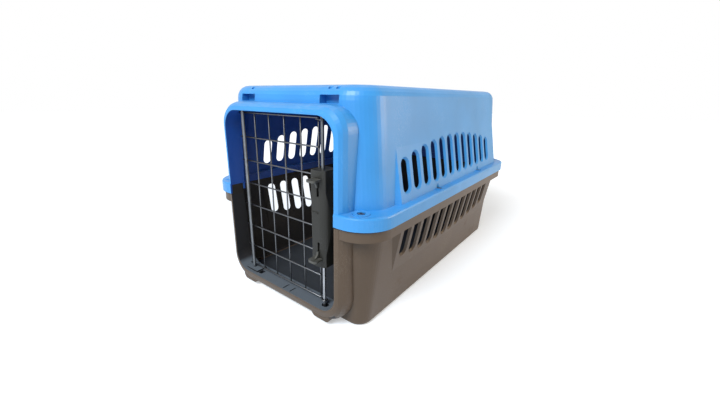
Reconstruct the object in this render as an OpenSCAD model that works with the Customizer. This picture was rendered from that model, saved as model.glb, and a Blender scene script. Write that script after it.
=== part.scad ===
// Bird travel carrier: two bolted plastic shells, a wire door on a hinge rod,
// a squeeze latch with two sprung bolts, and a bail handle folded into the roof.
// Millimetres. The door end faces -Y, the latch is on the +X side and +Z is up.

/* [Body] */
// Width over the flange where the two shells meet
flange_width = 299; // [280:1:340]
// Length over the same flange
flange_length = 482; // [450:1:560]
// Height from the underside to the roof
body_height = 285; // [276:1:330]
// Height of the plane where the upper shell sits on the lower one
seam_height = 149; // [140:1:156]
// Wall thickness of both shells
wall = 3; // [2.5:0.1:4]
// Plan radius of the shell corners at the seam
corner_radius = 38; // [30:1:46]
// Radius along the edge of the roof
roof_radius = 16; // [8:1:22]
// Draft of the side walls, in degrees
side_draft = 5.4; // [3:0.1:6]
// Draft of the end walls, in degrees
end_draft = 1.5; // [1:0.1:3]

/* [Flange] */
// Width of the ledge outside the side walls
ledge_side = 16.5; // [15.5:0.5:20]
// Width of the ledge outside the end walls
ledge_end = 20; // [18:0.5:24]
// Depth of the upper skirt below the top of the ledge
skirt_depth = 15.5; // [12:0.5:18]
// Depth of the lower rim below the seam
rim_depth = 26.3; // [22:0.1:30]
// How far the locating tongue reaches down into the lower shell
tongue_depth = 9; // [6:1:12]

/* [Doorway] */
// Clear width of the doorway
door_width = 196.6; // [180:0.2:206]
// Height of the sill above the underside
sill_height = 21.5; // [20:0.5:26]
// Height of the top of the doorway below the roof
head_drop = 31; // [29:1:40]
// Radius of the doorway's corners
door_radius = 24; // [18:1:30]
// Width of the rounded collar round the doorway
collar_width = 11; // [9:0.5:12]

/* [Door] */
// Diameter of the hinge rod and of the two bolt rods
rod_diameter = 4; // [3:0.5:5]
// Diameter of the mesh wires
wire_diameter = 2; // [1.6:0.2:2.4]
// Distance of each rod from the middle of the doorway
rod_offset = 72.5; // [68:0.5:76]
// Number of upright wires
upright_count = 6; // [5:1:7]
// Number of cross wires
cross_count = 8; // [6:1:9]

/* [Latch] */
// Width of the latch housing
latch_width = 21; // [20:0.5:26]
// Height of the latch housing
latch_height = 117; // [112:1:140]
// Height of the housing's lower end above the underside
latch_foot = 78; // [70:1:84]
// Travel of each bolt when its finger tab is squeezed
bolt_travel = 12; // [11:0.5:13]
// Forward reach of the finger tabs
tab_reach = 13; // [10:0.5:15]
// Width of the finger tabs
tab_width = 13; // [11:0.5:15]

/* [Vents] */
// How far the vent panels stand out from the side walls at the flange
panel_proud = 6.2; // [5:0.1:7]
// Lean of the vent panels against the side walls, in degrees
panel_lean = 5.3; // [5:0.1:6.5]
// Thickness of the vent panels
rib_depth = 3; // [2.6:0.1:3.6]
// Number of slots in each row
slot_count = 12; // [8:1:12]
// Width of one slot at the inside of its panel
slot_width = 15; // [11:0.2:15.6]
// How far each edge of a slot opens outward
slot_flare = 2.4; // [1:0.1:2.8]
// Distance from slot to slot
slot_pitch = 26.7; // [24:0.1:27]

/* [Handle] */
// Length of the handle, over its two arms
handle_length = 152; // [136:1:170]
// Distance from the pivots to the middle of the grip
handle_drop = 42; // [38:1:46]
// Diameter of the grip
grip_diameter = 16; // [14:1:17]
// Diameter of the pivot pins
pin_diameter = 6; // [5:0.5:7]

/* [Fasteners] */
// Shank diameter of the flange bolts
bolt_diameter = 4; // [3.5:0.1:4]

/* [Fits] */
// Gap between the skirt and the rim, and round the tongue
shell_gap = 0.5; // [0.4:0.1:0.8]
// Radial clearance of a rod that turns or slides in its bore
run_gap = 0.06; // [0.04:0.01:0.1]
// Radial clearance of a fixed shank or wire
fixed_gap = 0.03; // [0.02:0.01:0.05]
// Clearance beside the sliding levers
slide_gap = 0.3; // [0.2:0.05:0.5]

/* [Hidden] */
$fn = 48;
corner_steps = 12;
over = 1;
far = flange_length;

// Body
flange_hx = flange_width / 2;
flange_hy = flange_length / 2;
ledge_top = seam_height + wall;
upper_hx = flange_hx - ledge_side;
upper_hy = flange_hy - ledge_end;
lower_hx = upper_hx + 1.3;
lower_hy = upper_hy + 3.1;
shoulder = body_height - roof_radius;
flange_radius = corner_radius + 4;
bottom_radius = corner_radius / 2;
skirt_bottom = ledge_top - skirt_depth;
rim_bottom = seam_height - rim_depth;
skirt_wall = 2.5;
rim_wall = 2;
rim_inset = skirt_wall + shell_gap;

// Doorway and collar
door_hx = door_width / 2;
door_top = body_height - head_drop;
lip_y = -flange_hy + 1;
collar_root = -upper_hy - 1;
lip_edge = 1.8;
sill_under = 3;
post_y = -flange_hy + 12.5;
post_r = rod_diameter / 2;
wire_r = wire_diameter / 2;
socket_width = 31;
socket_bottom = 4.5;
socket_round = 7;
socket_floor = 11.5;
bore_top = door_top + 7.2;
rod_foot = socket_floor + 0.5;
rod_head = bore_top - 0.5;

// Mesh
mesh_y = post_y + post_r + wire_r - 0.2;
upright_y = mesh_y + 1.6 * wire_r;
mesh_left = -rod_offset - 9.5;
mesh_right = rod_offset - 10;
mesh_bottom = sill_height + 5.3;
mesh_top = door_top - 3.5;
upright_pitch = (mesh_right - mesh_left) / (upright_count - 1);
cross_pitch = (mesh_top - mesh_bottom) / (cross_count - 1);
loop_radius = post_r + wire_r + 0.2;

// Latch, between the rods' bores
latch_top = latch_foot + latch_height;
latch_mid = latch_foot + latch_height / 2;
latch_left = rod_offset - 0.57 * latch_width;
latch_right = latch_left + latch_width;
latch_front_y = post_y - 0.43 * latch_width;
latch_split = post_y + post_r + 1.6;
latch_back_y = post_y + 0.74 * latch_width;
latch_bulge = 3;
latch_nose = 11;
cavity_hx = 5.7;
cavity_front = latch_front_y + 2.8;
cavity_back = post_y + 6.2;
end_wall = 6;
web_half = 6;
lever_height = 18;
lever_hx = cavity_hx - slide_gap;
upper_tab_z = latch_top - 10;
lower_tab_z = latch_foot + 11.5;
tab_thick = 2.6;
neck_width = 2.8;
mark_rise = 8.5;
mark_length = 10;
gusset = 9;
tab_front = latch_front_y - tab_reach;
spring_radius = post_r + 2;
spring_wire = 0.9;
spring_turns = 8;
spring_length = latch_height / 2 - end_wall - web_half - lever_height - 0.1;

// Vents. Each panel is drawn in its own frame, with its outer face at X = 0 and Z
// running up its slope, and is then set on the side wall.
upper_tilt = side_draft + panel_lean;
lower_tilt = side_draft - 0.6 + panel_lean;
upper_panel_x = upper_hx - wall * tan(side_draft) + panel_proud;
lower_panel_x = lower_hx - rim_depth * tan(side_draft - 0.6) + panel_proud;
panel_run = 1.1 * panel_proud / sin(panel_lean);
panel_depth = 14;
panel_rear = 0.788 * flange_hy;
upper_front = -0.685 * flange_hy;
lower_front = -0.661 * flange_hy;
upper_slant = 1;
lower_slant = 2.2;
upper_row_mid = -1.6;
lower_row_mid = 4.9;
upper_slot_foot = 9.7;
upper_slot_head = 71.5;
lower_slot_foot = -63.3;
lower_slot_head = 5.1;
upper_arch = 17;
lower_arch = 14;

// Roof recess and handle
pivot_z = body_height - 11;
recess_floor = body_height - 22;
recess_hy = handle_length / 2 + 10;
recess_left = -13;
recess_right = handle_drop + grip_diameter / 2 + 9;
arm_thick = 10;
eye_radius = 8;
pin_r = pin_diameter / 2;
pin_length = 21;

// Fasteners, four at the corners and four along the sides
bolt_r = bolt_diameter / 2;
bolt_seat = ledge_top - 1.4;
nut_flats = 7;
nut_height = 3.2;
corner_x = flange_hx - 27.5;
corner_y = flange_hy - 19;
side_x = flange_hx - 8.8;
side_front = -0.28 * flange_hy;
side_rear = 0.385 * flange_hy;
niche_radius = 4.4;
niche_top = ledge_top + 6.5;
bolt_places = [
    [corner_x, -corner_y], [corner_x, corner_y],
    [-corner_x, -corner_y], [-corner_x, corner_y],
    [side_x, side_front], [side_x, side_rear],
    [-side_x, side_front], [-side_x, side_rear]
];

// The finger tabs stand out in front of the flange, so the whole part is moved
// back by half of that to stay centred on its own bounding box.
centre_shift = (-flange_hy - tab_front) / 2;

module place() {
    translate([0, centre_shift, 0]) children();
}

// Points of one rounded outline at height z. The corners in front and behind may
// have their own radii, so the same outline serves for the collar round the door.
function outline(x0, x1, y0, y1, z, r_low, r_high) = [
    for (q = [0:3], i = [0:corner_steps])
        let (a = q * 90 + i * 90 / corner_steps, r = q < 2 ? r_high : r_low)
            [(q == 0 || q == 3 ? x1 - r : x0 + r) + r * cos(a),
             (q < 2 ? y1 - r : y0 + r) + r * sin(a), z]
];

function plan_ring(hx, hy, r, z) = outline(-hx, hx, -hy, hy, z, r, r);

// Solid skinned over a stack of outlines that share one number of points.
module loft(rings) {
    n = len(rings[0]);
    last = len(rings) - 1;
    skin = [
        for (i = [0:last - 1], j = [0:n - 1], k = [0, 1])
            let (p = i * n + j, q = i * n + (j + 1) % n)
                k == 0 ? [p, p + n, q + n] : [p, q + n, q]
    ];
    polyhedron(
        points = [for (ring = rings, p = ring) p],
        faces = concat(skin, [[for (j = [0:n - 1]) j]], [[for (j = [n - 1:-1:0]) last * n + j]])
    );
}

// A straight plate with rounded plan corners.
module plan_plate(hx, hy, r, z, h) {
    translate([0, 0, z]) linear_extrude(h) {
        square([2 * (hx - r), 2 * hy], center = true);
        square([2 * hx, 2 * (hy - r)], center = true);
        for (sx = [-1, 1], sy = [-1, 1])
            translate([sx * (hx - r), sy * (hy - r)]) circle(r = r);
    }
}

// Outside of the upper shell, or its inside when inset is the wall thickness.
module upper_form(inset) {
    rise = shoulder - seam_height;
    hx = upper_hx - rise * tan(side_draft) - roof_radius;
    hy = upper_hy - rise * tan(end_draft) - roof_radius;
    foot = inset > 0 ? over : 0;
    rr = roof_radius - inset;
    loft(concat(
        [plan_ring(upper_hx - inset, upper_hy - inset, corner_radius - inset, seam_height - foot)],
        [for (a = [0, 18, 36, 54, 72, 90])
            plan_ring(hx + rr * cos(a), hy + rr * cos(a),
                corner_radius - 2 - roof_radius + rr * cos(a), shoulder + rr * sin(a))]
    ));
}

// Outside of the lower shell, or its inside when inset is the wall thickness.
module lower_form(inset) {
    top = inset > 0 ? over : 0;
    floor_z = inset > 0 ? wall + 1.5 : 0;
    edge = inset > 0 ? 3 : 5;
    hx = lower_hx - (seam_height - edge) * tan(side_draft - 0.6) - inset - edge;
    hy = lower_hy - (seam_height - edge) * tan(end_draft * 2) - inset - edge;
    loft(concat(
        [for (a = [90, 60, 30, 0])
            plan_ring(hx + edge * cos(a), hy + edge * cos(a),
                bottom_radius - edge + edge * cos(a), floor_z + edge * (1 - sin(a)))],
        [plan_ring(lower_hx - inset, lower_hy - inset, corner_radius - inset, seam_height + top)]
    ));
}

// Rounded collar that stands in front of the end wall, as a stack of outlines.
module collar() {
    depth = collar_root - lip_y;
    side_in = collar_width - lip_edge;
    foot_in = sill_height - sill_under - 2;
    rotate([90, 0, 0]) loft([for (a = [-1, 0, 22, 45, 68, 90])
        let (k = a < 0 ? 0 : 1 - cos(a),
             y = a < 0 ? collar_root + 9 : collar_root - depth * sin(a),
             hx = door_hx + collar_width - side_in * k)
            outline(-hx, hx, 2 + foot_in * k, door_top + collar_width - side_in * k, -y,
                38 - 12 * k, 29 - 4 * k)
    ]);
}

// The doorway, cut through the collar, the flange and the end wall.
module doorway() {
    translate([0, -upper_hy + 14, 0]) rotate([90, 0, 0]) linear_extrude(50) {
        translate([-door_hx + door_radius, sill_height])
            square([2 * (door_hx - door_radius), door_top - sill_height]);
        translate([-door_hx, sill_height + door_radius])
            square([2 * door_hx, door_top - sill_height - 2 * door_radius]);
        for (s = [-1, 1], z = [sill_height + door_radius, door_top - door_radius])
            translate([s * (door_hx - door_radius), z]) circle(r = door_radius);
    }
}

// Flange of the upper shell: ledge and skirt, with a rounded top edge.
module upper_flange() {
    difference() {
        loft([for (k = [[0, skirt_bottom], [0, ledge_top - 2], [0.6, ledge_top - 0.6], [2, ledge_top]])
            plan_ring(flange_hx - k[0], flange_hy - k[0], flange_radius - k[0], k[1])]);
        plan_plate(flange_hx - skirt_wall, flange_hy - skirt_wall, flange_radius - skirt_wall,
            skirt_bottom - over, seam_height - skirt_bottom + over);
    }
}

// Flange of the lower shell: the rim that the skirt drops over.
module lower_flange() {
    hx = flange_hx - rim_inset;
    hy = flange_hy - rim_inset;
    r = flange_radius - rim_inset;
    difference() {
        plan_plate(hx, hy, r, rim_bottom, seam_height - rim_bottom);
        plan_plate(hx - rim_wall, hy - rim_wall, r - rim_wall,
            rim_bottom - over, seam_height - wall - rim_bottom + over);
    }
}

// Tongue of the upper shell that locates it inside the lower one.
module tongue() {
    drop = lower_hx - wall - tongue_depth * tan(side_draft - 0.6) - shell_gap;
    drop_y = lower_hy - wall - tongue_depth * tan(end_draft * 2) - shell_gap;
    r = corner_radius - wall - shell_gap;
    difference() {
        union() {
            plan_plate(drop, drop_y, r, seam_height - tongue_depth, tongue_depth + 0.5);
            plan_plate(upper_hx - 1, upper_hy - 1, corner_radius - 1, seam_height, 2.4);
        }
        plan_plate(drop - 2.2, drop_y - 3, r - 2.2, seam_height - tongue_depth - over,
            tongue_depth + 4 + over);
    }
}

// One vent panel in its own frame. Both ends slope back at the given slant, and
// inset moves the face and the ends inward for the hollow behind the panel.
module vent_prism(front, slant, inset, foot, head) {
    shift = inset * (sqrt(1 + slant * slant) - slant);
    rear_shift = inset * (sqrt(2) - 1);
    deep = panel_depth - inset;
    translate([0, 0, foot]) linear_extrude(head - foot) polygon([
        [-inset, front + shift],
        [-inset, panel_rear - rear_shift],
        [-panel_depth, panel_rear - rear_shift + deep],
        [-panel_depth, front + shift - slant * deep]
    ]);
}

// One flared slot in the panel's frame, from foot to head.
module vent_slot(y, foot, head) {
    r = slot_width / 2;
    wide = slot_width / 2 + slot_flare * (rib_depth + over) / rib_depth;
    outer = r + slot_flare;
    z0 = foot + outer;
    z1 = head - outer;
    translate([0, y, 0]) {
        translate([-20, -r, z0]) cube([20 + over, slot_width, z1 - z0]);
        translate([0, 0, z0]) linear_extrude(z1 - z0)
            polygon([[-rib_depth, -r], [over, -wide], [over, wide], [-rib_depth, r]]);
        for (z = [z0, z1]) translate([0, 0, z]) rotate([0, 90, 0]) {
            translate([0, 0, -20]) cylinder(r = r, h = 20 + over);
            translate([0, 0, -rib_depth]) cylinder(r1 = r, r2 = wide, h = rib_depth + over);
        }
    }
}

// A row of slots whose heads or feet follow a shallow arch.
module vent_row(mid, foot, head, foot_arch, head_arch) {
    for (i = [0:slot_count - 1]) {
        u = (2 * i - slot_count + 1) / (slot_count - 1);
        vent_slot(mid + (i - (slot_count - 1) / 2) * slot_pitch,
            foot + foot_arch * u * u, head - head_arch * u * u);
    }
}

// Sets what is drawn in the upper or lower panel's frame on both side walls.
module upper_sides() {
    for (s = [0, 1]) mirror([s, 0, 0])
        translate([upper_panel_x, 0, ledge_top]) rotate([0, -upper_tilt, 0]) children();
}

module lower_sides() {
    for (s = [0, 1]) mirror([s, 0, 0])
        translate([lower_panel_x, 0, rim_bottom]) rotate([0, lower_tilt, 0]) children();
}

// Hollow behind the upper panels, which leaves the ledge and the walls of the
// niches over the side bolts.
module upper_hollow() {
    difference() {
        intersection() {
            upper_sides() vent_prism(upper_front, upper_slant, rib_depth, -5, panel_run);
            translate([-far, -far, ledge_top]) cube([2 * far, 2 * far, far]);
        }
        for (i = [4:7]) translate([bolt_places[i][0], bolt_places[i][1], ledge_top - over])
            cylinder(r = niche_radius + wall, h = niche_top - ledge_top + over + 2);
    }
}

// Sockets under the sill that take the ends of the rods.
module sockets() {
    hx = socket_width / 2;
    for (s = [-1, 1])
        translate([s * rod_offset, lip_y + 23, 0]) rotate([90, 0, 0]) linear_extrude(20) {
            translate([-hx + socket_round, socket_bottom])
                square([socket_width - 2 * socket_round, sill_height - socket_bottom]);
            translate([-hx, socket_bottom + socket_round])
                square([socket_width, sill_height - socket_bottom - socket_round]);
            for (k = [-1, 1])
                translate([k * (hx - socket_round), socket_bottom + socket_round])
                    circle(r = socket_round);
        }
}

// Bosses behind the end wall that carry the upper ends of the rods.
module head_blocks() {
    for (s = [-1, 1])
        translate([s * rod_offset - 17, -upper_hy + 2, door_top + 7])
            cube([34, 16, 15]);
}

// Pockets above the collar, open to the front.
module head_pockets() {
    for (s = [-1, 1])
        translate([s * rod_offset - 14, -upper_hy, door_top + collar_width + 0.4])
            cube([28, 14, 9]);
}

// Small slots in the front edge of the roof.
module roof_slots() {
    for (x = [-rod_offset + 3.5, rod_offset - 3.5, rod_offset + 8])
        translate([x - 2.5, -upper_hy + 8, shoulder + 11.5]) cube([5, 4, roof_radius]);
}

// Solid that carries the roof recess, and the recess itself.
module roof_pad() {
    translate([recess_left - wall, -recess_hy - wall, recess_floor - wall])
        cube([recess_right - recess_left + 2 * wall, 2 * (recess_hy + wall), 60]);
    for (s = [-1, 1])
        translate([0, s * (recess_hy + 5), pivot_z]) rotate([90, 0, 0])
            cylinder(r = pin_r + 4, h = 12, center = true);
}

module roof_recess() {
    r = 10;
    x_mid = (recess_left + recess_right) / 2;
    translate([x_mid, 0, 0])
        plan_plate((recess_right - recess_left) / 2, recess_hy, r, recess_floor, 40);
}

// Ring bosses on the ledge round the bolt heads, wide at the corners.
module ledge_rings() {
    for (i = [0:7])
        translate([bolt_places[i][0], bolt_places[i][1], ledge_top - over])
            cylinder(r = i < 4 ? 9.7 : 6.9, h = over + 1);
}

module bolt_bores() {
    for (i = [0:7]) translate([bolt_places[i][0], bolt_places[i][1], 0]) {
        translate([0, 0, bolt_seat])
            cylinder(r = i < 4 ? 5 : niche_radius, h = niche_top - bolt_seat);
        translate([0, 0, seam_height - 10]) cylinder(r = bolt_r + 0.25, h = 20);
    }
}

module lower_shell() {
    color([0.33, 0.29, 0.25]) place() difference() {
        union() {
            difference() {
                union() {
                    lower_form(0);
                    intersection() {
                        union() {
                            collar();
                            sockets();
                        }
                        union() {
                            translate([-far, -far, 0]) cube([2 * far, far, skirt_bottom - 0.6]);
                            plan_plate(flange_hx - rim_inset, flange_hy - rim_inset,
                                flange_radius - rim_inset, 0, seam_height);
                        }
                        translate([-far, -far, 0]) cube([2 * far, far, seam_height]);
                    }
                    lower_flange();
                    lower_sides() vent_prism(lower_front, lower_slant, 0, -panel_run,
                        lower_slot_head + 0.5 + wall);
                }
                difference() {
                    lower_form(wall);
                    sill_back();
                }
                lower_sides() {
                    vent_prism(lower_front, lower_slant, rib_depth, -panel_run, lower_slot_head + 0.5);
                    vent_row(lower_row_mid, lower_slot_foot, lower_slot_head, lower_arch, 0);
                }
                doorway();
                translate([0, 0, -over])
                    plan_plate(lower_hx - 35, lower_hy - 30, bottom_radius, 0, over + 1.5);
            }
            sill_plate();
        }
        bolt_bores();
        sill_details();
    }
}

// Raised plate on the sill round the foot of the hinge rod.
module sill_plate() {
    translate([-rod_offset - 17.5, lip_y + 5, sill_height - over])
        cube([socket_width + 1, 17, over + 2.4]);
}

// Material kept behind the sill so that the rod sockets have walls all round.
module sill_back() {
    translate([-door_hx, -upper_hy - 4, 0]) cube([2 * door_hx, 8, sill_height]);
}

// Bores and small cuts in the sill.
module sill_details() {
    translate([-rod_offset, post_y, socket_floor]) cylinder(r = post_r + run_gap, h = 40);
    for (k = [-1, 1])
        translate([rod_offset + 1.6 + k, post_y - 0.4, socket_floor]) cylinder(r = 4, h = 40);
    translate([rod_offset + 0.6, post_y - 4.4, socket_floor]) cube([2, 8, 40]);
    for (x = [3.3, 16.5])
        translate([x - 0.8, lip_y + 2.5, sill_height - 4]) cube([1.6, 11, 10]);
    translate([-rod_offset + 15, post_y - 5, sill_height - 6]) cube([7, 8, 10]);
}

module upper_shell() {
    color([0.26, 0.55, 0.85]) place() difference() {
        union() {
            difference() {
                union() {
                    upper_form(0);
                    intersection() {
                        collar();
                        translate([-far, -far, seam_height]) cube([2 * far, far, far]);
                    }
                    upper_flange();
                    upper_sides() vent_prism(upper_front, upper_slant, 0, -over, panel_run);
                    ledge_rings();
                }
                difference() {
                    upper_form(wall);
                    head_blocks();
                    roof_pad();
                }
                upper_hollow();
            }
            tongue();
        }
        upper_sides() vent_row(upper_row_mid, upper_slot_foot, upper_slot_head, 0, upper_arch);
        doorway();
        head_pockets();
        roof_slots();
        roof_recess();
        bolt_bores();
        translate([-rod_offset, post_y, door_top - over])
            cylinder(r = post_r + run_gap, h = bore_top - door_top + over);
        translate([rod_offset, post_y, door_top - over])
            cylinder(r = post_r + 0.6, h = bore_top - door_top + over);
        for (s = [-1, 1])
            translate([0, s * (recess_hy + 5), pivot_z]) rotate([90, 0, 0])
                cylinder(r = pin_r + fixed_gap, h = 20, center = true);
    }
}

module door_mesh() {
    color([0.72, 0.73, 0.74]) place() {
        for (i = [0:upright_count - 1])
            translate([mesh_left + i * upright_pitch, upright_y, mesh_bottom - wire_r])
                cylinder(r = wire_r, h = mesh_top - mesh_bottom + 2 * wire_r);
        for (i = [0:cross_count - 1])
            translate([mesh_left - wire_r, mesh_y, mesh_bottom + i * cross_pitch])
                rotate([0, 90, 0]) cylinder(r = wire_r, h = mesh_right - mesh_left + 2 * wire_r);
        for (z = [mesh_bottom + 1.6 * wire_r, mesh_top - 1.6 * wire_r]) {
            translate([mesh_right - wire_r, mesh_y, z]) rotate([0, 90, 0])
                cylinder(r = wire_r, h = rod_offset - mesh_right);
            translate([rod_offset, post_y, z]) rotate_extrude()
                translate([loop_radius, 0]) circle(r = wire_r);
        }
    }
}

module hinge_rod() {
    color([0.62, 0.63, 0.64]) place()
        translate([-rod_offset, post_y, rod_foot]) cylinder(r = post_r, h = rod_head - rod_foot);
}

// Outside of the latch housing: a plan outline crossed with a side outline.
module latch_body() {
    intersection() {
        translate([0, 0, latch_foot]) linear_extrude(latch_height) {
            x1 = latch_right + latch_bulge;
            polygon([
                for (c = [[x1, latch_back_y, 3, 0], [latch_left, latch_back_y, 2.5, 1],
                          [latch_left, latch_front_y, 3, 2], [x1, latch_front_y, latch_nose, 3]],
                     i = [0:8])
                    let (a = c[3] * 90 + i * 90 / 8, r = c[2])
                        [c[0] + (c[3] == 0 || c[3] == 3 ? -r : r) + r * cos(a),
                         c[1] + (c[3] < 2 ? -r : r) + r * sin(a)]
            ]);
        }
        translate([0, latch_back_y + over, 0]) rotate([90, 0, 0])
            linear_extrude(latch_back_y - latch_front_y + 2 * over) {
                translate([latch_left - over, latch_foot])
                    square([latch_width + over, latch_height]);
                intersection() {
                    translate([latch_right + latch_bulge - 236, latch_mid - 4]) circle(r = 236, $fn = 200);
                    translate([latch_right - 10, latch_foot]) square([20, latch_height]);
                }
            }
    }
}

// Space inside the housing: two lever chambers either side of a solid web.
module latch_space() {
    for (z = [latch_foot + end_wall, latch_mid + web_half])
        translate([rod_offset - cavity_hx, cavity_front, z])
            cube([2 * cavity_hx, cavity_back - cavity_front, latch_height / 2 - end_wall - web_half]);
    for (z = [latch_foot - over, latch_top - end_wall - over])
        translate([rod_offset, post_y, z]) cylinder(r = post_r + run_gap, h = end_wall + 2 * over);
}

// Grooves that grip the mesh wires where they enter the housing.
module wire_grooves() {
    r = wire_r + fixed_gap;
    translate([mesh_right, upright_y, latch_foot - over]) cylinder(r = r, h = latch_height + 2 * over);
    for (i = [0:cross_count - 1])
        translate([latch_left - over, mesh_y, mesh_bottom + i * cross_pitch]) rotate([0, 90, 0])
            cylinder(r = r, h = mesh_right + wire_r + 0.5 - latch_left + over);
}

module latch_front() {
    color([0.2, 0.2, 0.19]) place() {
        difference() {
            intersection() {
                latch_body();
                translate([0, latch_front_y - over, 0])
                    cube([far, latch_split - latch_front_y + over, far]);
            }
            latch_space();
            wire_grooves();
            for (z = [upper_tab_z - bolt_travel - gusset + 1, lower_tab_z - 2])
                translate([rod_offset - neck_width / 2 - slide_gap, latch_front_y - over, z])
                    cube([neck_width + 2 * slide_gap, 6, bolt_travel + gusset + 1]);
            latch_screw_bores(1.25 + fixed_gap, latch_split - 8);
        }
        translate([latch_left + 2, latch_front_y - 0.8, latch_mid + mark_rise])
            cube([mark_length, 1.2, 1.4]);
    }
}

module latch_back() {
    color([0.17, 0.17, 0.17]) place() difference() {
        intersection() {
            latch_body();
            translate([0, latch_split, 0]) cube([far, far, far]);
        }
        latch_space();
        wire_grooves();
        latch_screw_bores(1.25 + fixed_gap, latch_split - 8);
        for (s = [-1, 1])
            translate([rod_offset + 0.5, latch_back_y - 2.5, latch_mid + s * 3]) rotate([-90, 0, 0])
                cylinder(r = 2.6, h = 2.5 + over);
    }
}

module latch_screw_bores(r, y) {
    for (s = [-1, 1])
        translate([rod_offset + 0.5, y, latch_mid + s * 3]) rotate([-90, 0, 0])
            cylinder(r = r, h = latch_back_y - y);
}

module latch_screw(s) {
    color([0.55, 0.55, 0.56]) place()
        translate([rod_offset + 0.5, latch_back_y - 2.5, latch_mid + s * 3]) rotate([-90, 0, 0]) {
            difference() {
                cylinder(r = 2.4, h = 2);
                translate([-2, -0.35, 1.1]) cube([4, 0.7, 2]);
                translate([-0.35, -2, 1.1]) cube([0.7, 4, 2]);
            }
            translate([0, 0, -9]) cylinder(r = 1.25, h = 9.5);
        }
}

module latch_screw_upper() {
    latch_screw(1);
}

module latch_screw_lower() {
    latch_screw(-1);
}

// One lever: the block round the rod, its neck, the finger tab and a gusset.
// The gusset hangs below the tab when side is 1 and stands above it when side is -1.
module lever(block_z, tab_z, side) {
    color([0.27, 0.27, 0.26]) place() {
        difference() {
            translate([rod_offset - lever_hx, cavity_front + slide_gap, block_z])
                cube([2 * lever_hx, cavity_back - cavity_front - 2 * slide_gap, lever_height]);
            translate([rod_offset, post_y, block_z - over])
                cylinder(r = post_r + fixed_gap, h = lever_height + 2 * over);
        }
        translate([rod_offset - neck_width / 2, latch_front_y - 2, tab_z - tab_thick / 2])
            cube([neck_width, cavity_front + slide_gap + 2.5 - latch_front_y, tab_thick]);
        translate([rod_offset, 0, tab_z - tab_thick / 2]) linear_extrude(tab_thick) {
            translate([-tab_width / 2, tab_front + 4])
                square([tab_width, latch_front_y - 0.6 - tab_front - 4]);
            translate([-tab_width / 2 + 4, tab_front]) square([tab_width - 8, 6]);
            for (s = [-1, 1])
                translate([s * (tab_width / 2 - 4), tab_front + 4]) circle(r = 4);
        }
        translate([rod_offset - neck_width / 2, latch_front_y - 0.6, tab_z]) rotate([90, 0, 90])
            linear_extrude(neck_width) mirror([0, side > 0 ? 1 : 0]) difference() {
                translate([-gusset, 0]) square([gusset, gusset]);
                translate([-gusset, gusset]) circle(r = gusset - 1.6);
            }
    }
}

module upper_lever() {
    lever(latch_top - end_wall - lever_height - 0.1, upper_tab_z, 1);
}

module lower_lever() {
    lever(latch_foot + end_wall + 0.1, lower_tab_z, -1);
}

module upper_bolt() {
    color([0.66, 0.67, 0.68]) place()
        translate([rod_offset, post_y, latch_top - end_wall - lever_height - 6])
            cylinder(r = post_r, h = rod_head - latch_top + end_wall + lever_height + 6);
}

module lower_bolt() {
    color([0.66, 0.67, 0.68]) place()
        translate([rod_offset, post_y, rod_foot])
            cylinder(r = post_r, h = latch_foot + end_wall + lever_height + 6 - rod_foot);
}

// Coil spring as one swept mesh: turns of wire with a flat seat at each end.
module coil(length) {
    steps = 12;
    sides = 6;
    rise = length - spring_wire;
    count = spring_turns * steps;
    points = [
        for (i = [0:count], j = [0:sides - 1])
            let (a = i * 360 / steps, b = j * 360 / sides, r = spring_radius + spring_wire / 2 * cos(b))
                [r * cos(a), r * sin(a), spring_wire / 2 + rise * i / count + spring_wire / 2 * sin(b)]
    ];
    skin = [
        for (i = [0:count - 1], j = [0:sides - 1])
            let (p = i * sides + j, q = i * sides + (j + 1) % sides)
                [p, p + sides, q + sides, q]
    ];
    first_cap = [for (j = [0:sides - 1]) j];
    last_cap = [for (j = [sides - 1:-1:0]) count * sides + j];
    polyhedron(points = points, faces = concat(skin, [first_cap], [last_cap]));
}

module upper_spring() {
    color([0.6, 0.6, 0.6]) place()
        translate([rod_offset, post_y, latch_mid + web_half]) coil(spring_length);
}

module lower_spring() {
    color([0.6, 0.6, 0.6]) place()
        translate([rod_offset, post_y, latch_mid - web_half - spring_length]) coil(spring_length);
}

module carry_handle() {
    color([0.16, 0.36, 0.66]) place() {
        arm_y = handle_length / 2 - arm_thick / 2;
        translate([handle_drop, 0, pivot_z]) rotate([90, 0, 0])
            cylinder(r = grip_diameter / 2, h = handle_length - arm_thick, center = true);
        for (s = [-1, 1]) {
            translate([handle_drop, s * arm_y, pivot_z]) rotate([90, 0, 0])
                cylinder(r = grip_diameter / 2 + 0.6, h = arm_thick, center = true);
            difference() {
                union() {
                    translate([0, s * arm_y, pivot_z]) rotate([90, 0, 0])
                        cylinder(r = eye_radius, h = arm_thick, center = true);
                    translate([handle_drop / 2, s * arm_y, pivot_z])
                        cube([handle_drop, arm_thick, 13], center = true);
                }
                translate([0, s * arm_y, pivot_z]) rotate([90, 0, 0])
                    cylinder(r = pin_r + run_gap, h = 40, center = true);
            }
        }
    }
}

module handle_pin(s) {
    color([0.6, 0.61, 0.62]) place()
        translate([0, s * (recess_hy + 3 - pin_length / 2 + 4), pivot_z]) rotate([90, 0, 0])
            cylinder(r = pin_r, h = pin_length, center = true);
}

module handle_pin_front() {
    handle_pin(-1);
}

module handle_pin_rear() {
    handle_pin(1);
}

module flange_bolt(i) {
    p = bolt_places[i];
    color([0.3, 0.31, 0.33]) place() translate([p[0], p[1], bolt_seat]) {
        difference() {
            cylinder(r = 3.6, h = 2.1);
            translate([0, 0, 0.9]) cylinder(r = 1.8, h = 3, $fn = 6);
        }
        translate([0, 0, seam_height - wall - nut_height - 1 - bolt_seat])
            cylinder(r = bolt_r, h = bolt_seat - seam_height + wall + nut_height + 1.2);
    }
}

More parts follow.
